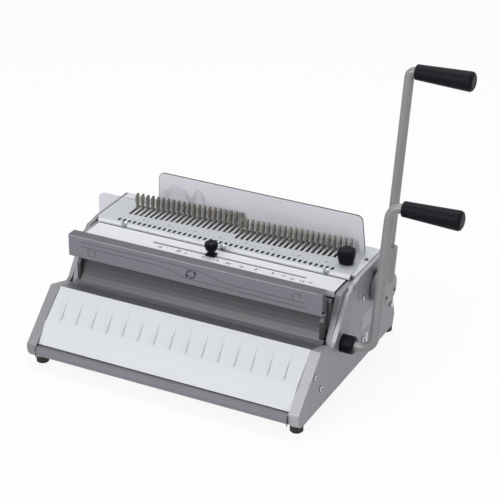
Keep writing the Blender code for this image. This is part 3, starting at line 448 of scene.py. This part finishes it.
def flat_heads(name, tips, size, spread, look, body):
    """Filled arrow heads on the bar: each (x, z, turn) is a thin triangle with its tip
    there and its two other corners at size and turn plus or minus spread."""
    points, faces = [], []
    for k, (x, z, turn) in enumerate(tips):
        t = math.radians(turn)
        flat = [(x, z), (x + size * math.cos(t + spread), z + size * math.sin(t + spread)),
                (x + size * math.cos(t - spread), z + size * math.sin(t - spread))]
        points += [(u, BAR_Y, v) for u, v in flat]
        points += [(u, BAR_Y - TURN_HEAD_THICK, v) for u, v in flat]
        rim = [(3, 4, 1, 0), (4, 5, 2, 1), (5, 3, 0, 2), (1, 2, 0), (5, 4, 3)]
        faces += [tuple(i + 6 * k for i in f) for f in rim]
    return surface(name, points, faces, look, body)


flat_heads("bar_turn_arrow_heads", [(-0.0080, 0.1500, 82), (0.0058, 0.1646, 262)], 0.0062,
           0.62, INK, "closing_bar_group")
# Painted highlight: a light strip along the bar's top front edge.
ribbons("bar_edge_painted_highlight", [np.array([(-0.2000, BAR_Y, 0.1738), (0.1958, BAR_Y, 0.1738)])],
        0.0012, BAR_PRINT_THICK, (0, -1, 0), EDGE_PAINTED_HIGHLIGHT, "closing_bar_group")

# scale on the table, in front of the slot
DIGITS = {
    "0": [(0, 0, 1, 0), (1, 0, 1, 2), (1, 2, 0, 2), (0, 2, 0, 0)],
    "1": [(0.6, 0, 0.6, 2), (0.6, 2, 0.1, 1.5)],
    "2": [(0, 2, 1, 2), (1, 2, 1, 1), (1, 1, 0, 1), (0, 1, 0, 0), (0, 0, 1, 0)],
    "3": [(0, 2, 1, 2), (1, 2, 1, 0), (1, 0, 0, 0), (0, 1, 1, 1)],
    "4": [(0, 2, 0, 1), (0, 1, 1, 1), (1, 2, 1, 0)],
    "5": [(1, 2, 0, 2), (0, 2, 0, 1), (0, 1, 1, 1), (1, 1, 1, 0), (1, 0, 0, 0)],
    "6": [(1, 2, 0, 2), (0, 2, 0, 0), (0, 0, 1, 0), (1, 0, 1, 1), (1, 1, 0, 1)],
    "7": [(0, 2, 1, 2), (1, 2, 0.4, 0)],
    "8": [(0, 0, 1, 0), (1, 0, 1, 2), (1, 2, 0, 2), (0, 2, 0, 0), (0, 1, 1, 1)],
    "9": [(1, 1, 0, 1), (0, 1, 0, 2), (0, 2, 1, 2), (1, 2, 1, 0), (1, 0, 0, 0)]}


def number(text, x, y, z, high):
    """Strokes of a plain number lying flat, its low left corner at (x, y, z)."""
    unit = high / 2
    strokes = []
    for k, sign in enumerate(text):
        for a, b, c, d in DIGITS[sign]:
            strokes.append(np.array([(x + unit * (a + 1.7 * k), y + unit * b, z),
                                     (x + unit * (c + 1.7 * k), y + unit * d, z)]))
    return strokes


TABLE_Z = 0.15890
TICK_FRONT_Y = 0.1345
TICK_BACK_Y = 0.1365
DIGIT_HIGH = 0.0046
ticks = []
for x in np.arange(-0.0900, 0.1501, 0.0100):
    ticks.append(np.array([(x, TICK_FRONT_Y, TABLE_Z), (x, TICK_BACK_Y, TABLE_Z)]))
ribbons("table_scale_ticks", ticks, 0.0006, PRINT_THICK, (0, 0, 1), PRINT_GREY, "machine")
ribbons("table_slot_line", [np.array([(-0.0948, 0.1400, TABLE_Z), (0.1494, 0.1412, TABLE_Z)])],
        0.0017, PRINT_THICK, (0, 0, 1), INK, "machine")
marks = []
for text, x, y in (("10", -0.0835, 0.1290), ("20", -0.0530, 0.1300), ("3", -0.0390, 0.1290),
                   ("4", -0.0110, 0.1295), ("5", 0.0130, 0.1295), ("60", 0.0285, 0.1285),
                   ("70", 0.0490, 0.1275), ("8", 0.0740, 0.1300), ("9", 0.1000, 0.1300),
                   ("11", 0.1145, 0.1300), ("12", 0.1290, 0.1275), ("13", 0.1440, 0.1275),
                   ("14", 0.1560, 0.1290)):
    marks += number(text, x, y, TABLE_Z, DIGIT_HIGH)
ribbons("table_scale_numbers", marks, 0.0008, PRINT_THICK, (0, 0, 1), INK, "machine")

# dots and numbers behind the row of windows
PLATE_Z = 0.16400
DOT_Y = 0.1868
WINDOW_FRONT_Y = 0.1715
WINDOW_BACK_Y = 0.1797
WINDOW_WIDE = 0.0040
ROW_NUMBER_Y = 0.1895
ROW_NUMBER_HIGH = 0.0028
dots = []
for k in range(WINDOW_COUNT):
    x = FIRST_WINDOW_X + PITCH * k
    wide = 0.0007 if k % 5 else 0.0011
    dots.append(np.array([(x - wide, DOT_Y, PLATE_Z), (x + wide, DOT_Y, PLATE_Z)]))
ribbons("window_row_dots", dots, 0.0014, PRINT_THICK, (0, 0, 1), PRINT_GREY, "machine")
# Thin near-black sheets over each window: painted shadow standing in for the dark holes.
shades = [np.array([(FIRST_WINDOW_X + PITCH * k, WINDOW_FRONT_Y, PLATE_Z),
                    (FIRST_WINDOW_X + PITCH * k, WINDOW_BACK_Y, PLATE_Z)])
          for k in range(WINDOW_COUNT)]
ribbons("window_painted_shadows", shades, WINDOW_WIDE, PRINT_THICK, (0, 0, 1), SHADOW_STEEL, "machine")
marks = []
for k in range(4, 40, 5):
    marks += number(str(k + 1), FIRST_WINDOW_X + PITCH * k - 0.0016, ROW_NUMBER_Y, PLATE_Z,
                    ROW_NUMBER_HIGH)
ribbons("window_row_numbers", marks, 0.0005, PRINT_THICK, (0, 0, 1), PRINT_GREY, "machine")


# painted shadow along the upright's edge
EDGE_PROUD = 0.00035


def edge_trim(name, path, inward, half_wide, low, high, axis):
    """Closed dark strip that wraps a sheet edge: painted shadow of the gap there.

    Section: from 0.35 mm outside the edge to half_wide inside it, and from low to high
    across the sheet.  path (n, 2) runs in the sheet's plane, inward (n, 2) points into it.
    """
    path = np.asarray(path, dtype=float)
    outer = path - EDGE_PROUD * inward
    inner = path + half_wide * inward
    order = {"y": (0, 2, 1), "z": (0, 1, 2)}[axis]
    ring = np.stack([np.column_stack([outer, 0 * outer[:, 0] + low]),
                     np.column_stack([outer, 0 * outer[:, 0] + high]),
                     np.column_stack([inner, 0 * outer[:, 0] + high]),
                     np.column_stack([inner, 0 * outer[:, 0] + low])], 1)[:, :, order]
    count = len(path)
    faces = [tuple(f[::-1]) for f in grid_faces(count, 4, True)]
    faces.append((0, 1, 2, 3))
    faces.append(tuple(np.array([3, 2, 1, 0]) + 4 * (count - 1)))
    return surface(name, ring.reshape(-1, 3), faces, DARK_PARTS_AND_GAP_SHADE, "machine")


def inward_of(path, middle):
    """Unit normals of a path in its plane, turned toward a middle point."""
    run = np.gradient(path, axis=0)
    run /= np.linalg.norm(run, axis=1)[:, None]
    normal = np.stack([-run[:, 1], run[:, 0]], -1)
    toward = np.asarray(middle) - path
    return normal * np.sign((normal * toward).sum(1))[:, None]


def corner(x, z, radius, start, end):
    """Corner arc (x + r cos t, z + r sin t) in 9 points."""
    t = np.radians(np.linspace(start, end, 9))
    return np.stack([x + radius * np.cos(t), z + radius * np.sin(t)], -1)


UPRIGHT_Y = 0.2405
UPRIGHT_ROUND = 0.0090
UPRIGHT_LEFT = -0.1412
UPRIGHT_RIGHT = 0.1900
UPRIGHT_TOP = 0.2210
UPRIGHT_FOOT = 0.1652
upright = np.vstack([[(-0.1431, UPRIGHT_FOOT)],
                     corner(UPRIGHT_LEFT + UPRIGHT_ROUND, UPRIGHT_TOP - UPRIGHT_ROUND,
                            UPRIGHT_ROUND, 180, 90),
                     corner(UPRIGHT_RIGHT - UPRIGHT_ROUND, UPRIGHT_TOP - UPRIGHT_ROUND,
                            UPRIGHT_ROUND, 90, 0),
                     [(0.1945, 0.1730), (0.1945, UPRIGHT_FOOT)]])
edge_trim("upright_edge_painted_shadow", upright, inward_of(upright, (0.02, 0.18)), 0.0002,
          UPRIGHT_Y - 0.0002, UPRIGHT_Y + 0.0018, "y")


def flutes(start, height, count):
    """Ripple of a fluted knob: height * cos(count * t), only past start along its axis."""
    return lambda t, a: np.where(a > start, height * np.cos(count * t), 0.0)


# knobs
clamp_knob = turned(
    "clamp_knob", (-0.0015, 0.1420, 0.1626), (0, 0, 1),
    [(0.0, 0.0050), (0.0036, 0.0050), (0.0040, 0.0062), (0.0076, 0.0084), (0.0110, 0.0093),
     (0.0158, 0.0093), (0.0170, 0.0084), (0.0174, 0.0066), (0.0166, 0.0050)], GRIP_BLACK,
    "side_stop_screw", 144, flutes(0.0060, 0.05, 18.0))


DIAL_NOSE = math.radians(180.0)
DIAL_STEM = 0.0345


def pointer(t, a):
    """Ripple of the dial past its stem: 0.035 cos(5 t) for the lobes, and for the nose
    toward the front left 0.20 exp(-(angle from the nose / 0.42)^2)."""
    turn = np.angle(np.exp(1j * (t - DIAL_NOSE)))
    lobes = 0.035 * np.cos(5.0 * t) + 0.20 * np.exp(-(turn / 0.42) ** 2)
    return np.where(a > DIAL_STEM, lobes, 0.0)


dial_knob = turned(
    "margin_dial_knob", (0.1850, 0.1995, 0.1310), (0, 0, 1),
    [(0.0, 0.0036), (0.0338, 0.0036), (0.0342, 0.0092), (0.0352, 0.0100), (0.0400, 0.0112),
     (0.0460, 0.0122), (0.0520, 0.0124), (0.0552, 0.0112), (0.0570, 0.0086),
     (0.0578, 0.0050)], GRIP_BLACK, "dial", 120, pointer)

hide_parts("side_stop_knob")
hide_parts("margin_dial")

# small fittings
COVER_FACE = 0.2160
SCREW_FACE = 0.2179
SCREWS = ((0.1910, 0.1200), (0.0310, 0.0740), (0.0500, 0.0465), (0.1950, 0.0510))
for k, (y, z) in enumerate(SCREWS):
    turned("cover_screw_rim_%d" % (k + 1), (COVER_FACE + 0.00002, y, z), (1, 0, 0),
           [(0.0, 0.0050), (0.0002, 0.0050), (0.00024, 0.0048)], DARK_PARTS_AND_GAP_SHADE, "machine",
           40)
    turned("cover_screw_socket_%d" % (k + 1), (SCREW_FACE, y, z), (1, 0, 0),
           [(0.0, 0.0019), (0.00012, 0.0019), (0.00014, 0.0018)], INK, "machine",
           6)
turned("cover_dot", (COVER_FACE, 0.1570, 0.1526), (1, 0, 0),
       [(0.0, 0.0016), (0.0003, 0.0016), (0.0005, 0.0012)], DARK_PARTS_AND_GAP_SHADE, "machine",
       24)
ribbons("cover_seam", [np.array([(COVER_FACE, 0.1724, 0.1490), (COVER_FACE, 0.1729, 0.1210)])],
        0.0011, 0.00012, (1, 0, 0), DARK_PARTS_AND_GAP_SHADE, "machine")


def rounded_sheet(name, middle, half, radius, thick, look):
    """A thin plate on the right cover's face: a rounded rectangle in y and z, carried
    from the face outward by thick."""
    t = np.radians(np.arange(0.0, 360.0, 15.0))
    rim = np.stack([middle[0] + np.sign(np.cos(t) + 1e-9) * (half[0] - radius)
                    + radius * np.cos(t),
                    middle[1] + np.sign(np.sin(t) + 1e-9) * (half[1] - radius)
                    + radius * np.sin(t)], -1)
    n = len(rim)
    low = np.column_stack([np.full(n, COVER_FACE), rim])
    high = low + np.array([thick, 0.0, 0.0])
    k = np.arange(n)
    j = (k + 1) % n
    faces = [tuple(f) for f in np.stack([k, j, j + n, k + n], -1)]
    faces += [tuple(k[::-1]), tuple(k + n)]
    return surface(name, np.vstack([low, high]), faces, look, "machine")


rounded_sheet("cover_blank_label", (0.2055, 0.0797), (0.0178, 0.0136), 0.0010, 0.00025,
              LABEL_PALE)
rounded_sheet("cover_blank_tab", (0.2085, 0.0475), (0.0036, 0.0085), 0.0006, 0.0003,
              TABLE_WHITE)

# deck screws, one near each end
DECK_Z = 0.1621
for side, x, y in (("left", -0.2040, 0.2280), ("right", 0.2040, 0.2260)):
    turned("deck_screw_%s" % side, (x, y, DECK_Z), (0, 0, 1),
           [(0.0, 0.0030), (0.0008, 0.0030), (0.0014, 0.0022), (0.0014, 0.0012),
            (0.0009, 0.0010)], DARK_PARTS_AND_GAP_SHADE, "machine", 32)

# hub screws
HUB_FACE = 0.2404
HUB_SCREWS = ((0.2330, 0.1385), (0.2478, 0.1130), (0.2182, 0.1130))
for k, (y, z) in enumerate(HUB_SCREWS):
    turned("hub_screw_%d" % (k + 1), (HUB_FACE, y, z), (1, 0, 0),
           [(0.0, 0.0026), (0.0006, 0.0026), (0.0010, 0.0020), (0.0010, 0.0012),
            (0.0003, 0.0010)], DARK_PARTS_AND_GAP_SHADE, "punch_lever", 28)

# dark lines where sheets meet: painted shade in the gaps between them
BAR_FRONT_Y = -0.0236
BAR_END_X = 0.2003
BAR_LOW = 0.0225
BAR_HIGH = 0.0388
ribbons("plate_rear_painted_shade_line", [np.array([(-0.2020, 0.2440, PLATE_Z), (-0.1470, 0.2440, PLATE_Z)])],
        0.0009, PRINT_THICK, (0, 0, 1), PRINT_GREY, "machine")
ribbons("panel_edge_painted_shade_lines", [
    np.array([(-0.2003, 0.0493, 0.1044), (-0.2003, 0.0072, 0.0689)])], 0.0010, 0.0003,
    (0.0, -0.645, 0.764), DARK_PARTS_AND_GAP_SHADE, "machine")
ribbons("front_bar_end_painted_shade_lines", [
    np.array([(BAR_END_X, BAR_FRONT_Y, BAR_LOW), (BAR_END_X, BAR_FRONT_Y, BAR_HIGH)]),
    np.array([(-BAR_END_X, BAR_FRONT_Y, BAR_LOW), (-BAR_END_X, BAR_FRONT_Y, BAR_HIGH)])],
    0.0013, 0.0003, (0, -1, 0), DARK_PARTS_AND_GAP_SHADE, "machine")


# pale wavy lines on the upright
def wave(x, z, step, drop):
    """Path of straight runs on the upright (up, level, down, up), read off every eighth
    of a step by linear interpolation."""
    turns = np.array([(0.0, 0.0), (1.7, 1.5), (3.6, 1.1), (4.6, -0.4), (5.6, 1.6), (6.6, 1.0),
                      (7.0, 0.2)])
    along = np.linspace(0.0, turns[-1, 0], 57)
    level = np.interp(along, turns[:, 0], turns[:, 1])
    return np.column_stack([x + step * along, 0 * along + UPRIGHT_Y, z + drop + step * level])


ribbons("upright_waves", [wave(-0.1325, 0.1905, 0.0098, -0.0028 * k) for k in range(5)],
        0.0006, PRINT_THICK, (0, -1, 0), WAVE_GREY, "machine")

# camera
AZIMUTH, ELEVATION, ROLL = np.radians([26.56, 26.85, 0.393])
AIM = np.array([0.05639, 0.150, 0.17745])
EYE_DISTANCE = 2.44194
FOCAL_PIXELS = 1720.9
IMAGE_PIXELS = 500.0
back = np.array([math.sin(AZIMUTH) * math.cos(ELEVATION),
                 -math.cos(AZIMUTH) * math.cos(ELEVATION), math.sin(ELEVATION)])
right = np.array([math.cos(AZIMUTH), math.sin(AZIMUTH), 0.0])
up = np.cross(back, right)
tilt_right = math.cos(ROLL) * right + math.sin(ROLL) * up
tilt_up = -math.sin(ROLL) * right + math.cos(ROLL) * up
eye = place(AIM + EYE_DISTANCE * back)
lens = bpy.data.cameras.new("camera")
lens.sensor_width = 36.0
lens.sensor_fit = "HORIZONTAL"
lens.lens = FOCAL_PIXELS * lens.sensor_width / IMAGE_PIXELS
lens.clip_end = 50.0
camera = bpy.data.objects.new("camera", lens)
turn = Matrix((tilt_right, tilt_up, back)).transposed().to_4x4()
camera.matrix_world = Matrix.Translation(Vector(eye)) @ turn
bpy.context.scene.collection.objects.link(camera)
bpy.context.scene.camera = camera


# floor and light
FLOOR_WHITE = 0.90
SKY_STRENGTH = 0.42
FLOOR_REACH = 4.0
FLOOR_BACK = 3.0
FLOOR_ROUND = 0.8


def background_rays(tree):
    """The socket that is 1 for camera, glossy and transmission rays, and 0 for the rest."""
    rays = tree.nodes.new("ShaderNodeLightPath")
    last = rays.outputs["Is Camera Ray"]
    for kind in ("Is Glossy Ray", "Is Transmission Ray"):
        most = tree.nodes.new("ShaderNodeMath")
        most.operation = "MAXIMUM"
        tree.links.new(last, most.inputs[0])
        tree.links.new(rays.outputs[kind], most.inputs[1])
        last = most.outputs["Value"]
    return last


def stage_sheet():
    """A pale floor that curves up behind: z = 0, then a quarter circle, then a wall."""
    x = np.linspace(-FLOOR_REACH, FLOOR_REACH, 2)
    t = np.linspace(0.1, np.pi / 2, 10)
    s = np.concatenate([[-FLOOR_REACH, FLOOR_BACK], FLOOR_BACK + FLOOR_ROUND * np.sin(t),
                        [FLOOR_BACK + FLOOR_ROUND]])
    z = np.concatenate([[0.0, 0.0], FLOOR_ROUND - FLOOR_ROUND * np.cos(t), [FLOOR_REACH]])
    grid = np.stack([np.repeat(x[None, :], len(s), 0), np.repeat(s[:, None], 2, 1),
                     np.repeat(z[:, None], 2, 1)], -1)
    mesh = bpy.data.meshes.new("floor")
    mesh.from_pydata(grid.reshape(-1, 3).tolist(), [], grid_faces(len(s), 2).tolist())
    look = bpy.data.materials.new("floor_white")
    look.use_nodes = True
    nodes = look.node_tree.nodes
    links = look.node_tree.links
    shader = nodes["Principled BSDF"]
    shader.inputs["Base Color"].default_value = (0.86, 0.86, 0.87, 1.0)
    shader.inputs["Roughness"].default_value = 0.9
    glow = nodes.new("ShaderNodeEmission")
    glow.inputs["Color"].default_value = (1.0, 1.0, 1.0, 1.0)
    share = nodes.new("ShaderNodeMath")
    share.operation = "MULTIPLY"
    share.inputs[1].default_value = FLOOR_WHITE
    mix = nodes.new("ShaderNodeMixShader")
    links.new(background_rays(look.node_tree), share.inputs[0])
    links.new(share.outputs["Value"], mix.inputs[0])
    links.new(shader.outputs["BSDF"], mix.inputs[1])
    links.new(glow.outputs["Emission"], mix.inputs[2])
    links.new(mix.outputs["Shader"], nodes["Material Output"].inputs["Surface"])
    mesh.materials.append(look)
    floor = bpy.data.objects.new("floor", mesh)
    bpy.context.scene.collection.objects.link(floor)


stage_sheet()
world = bpy.data.worlds.new("studio")
world.use_nodes = True
sky = world.node_tree.nodes["Background"]
sky.inputs["Color"].default_value = (0.96, 0.97, 1.0, 1.0)
level = world.node_tree.nodes.new("ShaderNodeMapRange")
level.inputs["To Min"].default_value = SKY_STRENGTH
level.inputs["To Max"].default_value = 1.0
world.node_tree.links.new(background_rays(world.node_tree), level.inputs["Value"])
world.node_tree.links.new(level.outputs["Result"], sky.inputs["Strength"])
bpy.context.scene.world = world


def lamp(name, spot, target, size, power):
    """A soft square lamp at spot, turned to target (frame coordinates)."""
    light = bpy.data.lights.new(name, "AREA")
    light.shape = "SQUARE"
    light.size = size
    light.energy = power
    made = bpy.data.objects.new(name, light)
    made.location = spot
    made.rotation_euler = (Vector(target) - Vector(spot)).to_track_quat("-Z", "Y").to_euler()
    bpy.context.scene.collection.objects.link(made)


lamp("lamp_front", (-0.9, -2.3, 1.7), (0.0, 0.0, 0.12), 1.3, 34.0)
lamp("lamp_top", (-0.2, 0.5, 2.3), (0.0, 0.0, 0.12), 1.6, 26.0)
lamp("lamp_right", (2.2, -0.4, 0.9), (0.0, 0.0, 0.12), 1.0, 6.0)
bpy.context.scene.view_settings.view_transform = "Standard"
